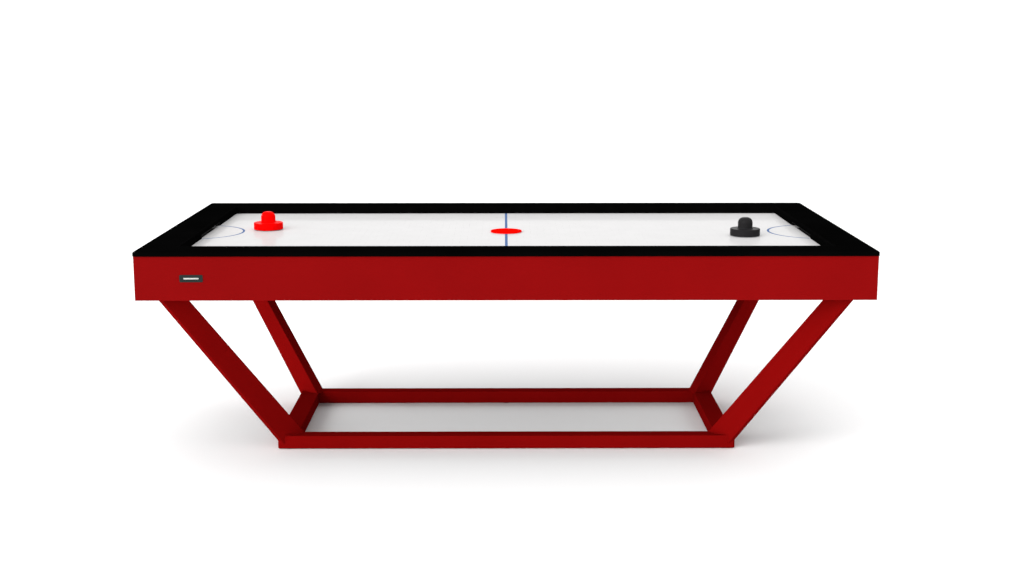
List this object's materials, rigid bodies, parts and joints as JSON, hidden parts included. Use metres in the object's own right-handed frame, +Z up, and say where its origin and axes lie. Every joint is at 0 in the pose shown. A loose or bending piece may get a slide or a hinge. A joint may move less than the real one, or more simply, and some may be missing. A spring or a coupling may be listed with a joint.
{
  "type": "air hockey table",
  "caption": "Free-standing air hockey table with a black rim, red apron, white air-fed field, slanted legs on a floor frame, mallets and puck.",
  "frame": {"origin": "on the floor, at the middle of the table", "axes": "+X along the table towards the black mallet, +Y from the front apron with the plate to the back apron with the switch, +Z up"},
  "size_m": [2.445, 1.29, 0.8013],
  "materials": {
    "rim_black": "black lacquered board, satin",
    "wall_black": "black extruded strip, satin",
    "liner_black": "black coated sheet",
    "moulded_black": "moulded black plastic",
    "field_white": "white laminate, semi-gloss, with blue markings and a grid of fine air holes",
    "pale_ply": "plain birch plywood",
    "apron_red": "red lacquered board, satin",
    "panel_black": "black painted board, matt",
    "grille_black": "black coated sheet",
    "motor_steel": "plain steel",
    "foam": "closed-cell foam",
    "lead_black": "black sheath",
    "clip_white": "white nylon",
    "rocker_red": "red rocker",
    "frame_red": "red powder coat on steel, satin",
    "fastener_zinc": "zinc plated",
    "pad_rubber": "black rubber",
    "plate_metal": "dark anodised, plain",
    "mallet_red": "red moulded plastic",
    "mallet_black": "black moulded plastic",
    "felt": "grey felt",
    "puck_red": "red moulded plastic"
  },
  "bodies": {
    "table": {"rim_front": "rim_black", "rim_back": "rim_black", "rim_left": "rim_black", "rim_right": "rim_black", "bumper_front": "wall_black", "bumper_back": "wall_black", "bumper_left": "wall_black", "bumper_right": "wall_black", "goal_liner_left": "liner_black", "goal_liner_right": "liner_black", "playfield": "field_white", "plenum_floor": "pale_ply", "plenum_batten_front": "pale_ply", "plenum_batten_back": "pale_ply", "plenum_batten_left": "pale_ply", "plenum_batten_right": "pale_ply", "plenum_ribs": "pale_ply", "apron_front": "apron_red", "apron_back": "apron_red", "apron_left": "apron_red", "apron_right": "apron_red", "corner_blocks": "pale_ply", "cross_beams": "pale_ply", "bottom_panel": "panel_black", "goal_box_left": "moulded_black", "goal_box_right": "moulded_black", "return_trim_left": "moulded_black", "return_trim_right": "moulded_black", "blower_housing": "moulded_black", "blower_cover": "moulded_black", "blower_motor": "motor_steel", "blower_gasket": "foam", "intake_grille": "grille_black", "switch_bezel": "moulded_black", "power_inlet": "moulded_black", "junction_box": "moulded_black", "internal_leads": "lead_black", "lead_clips": "clip_white", "base_rail_front": "frame_red", "base_rail_back": "frame_red", "base_rail_left": "frame_red", "base_rail_right": "frame_red", "leg_front_left": "frame_red", "leg_front_right": "frame_red", "leg_back_left": "frame_red", "leg_back_right": "frame_red", "leg_plates": "frame_red", "leg_bolts": "fastener_zinc", "floor_pads": "pad_rubber", "panel_screws": "fastener_zinc", "name_plate": "plate_metal"},
    "rotor": {"motor_shaft": "motor_steel", "impeller": "moulded_black"},
    "rocker": {"switch_rocker": "rocker_red"},
    "mallet_red": {"mallet_red": "mallet_red", "mallet_red_felt": "felt"},
    "mallet_black": {"mallet_black": "mallet_black", "mallet_black_felt": "felt"},
    "puck": {"puck": "puck_red"}
  },
  "joints": [
    {"name": "impeller_spin", "type": "hinge", "parent": "table", "child": "rotor", "pos_m": [-0.07, 0.135, 0.65], "axis": [0, 0, 1], "continuous": true},
    {"name": "switch_rock", "type": "hinge", "parent": "table", "child": "rocker", "pos_m": [0.24, 0.637, 0.664], "axis": [1, 0, 0], "range_deg": [0, 16]},
    {"name": "mallet_red_slide", "type": "slide", "parent": "table", "child": "mallet_red", "axis": [1, 0, 0], "range_m": [-0.145, 0.775]},
    {"name": "mallet_black_slide", "type": "slide", "parent": "table", "child": "mallet_black", "axis": [1, 0, 0], "range_m": [-0.757, 0.167]},
    {"name": "puck_slide", "type": "slide", "parent": "table", "child": "puck", "axis": [0, 1, 0], "range_m": [-0.455, 0.455]}
  ]
}
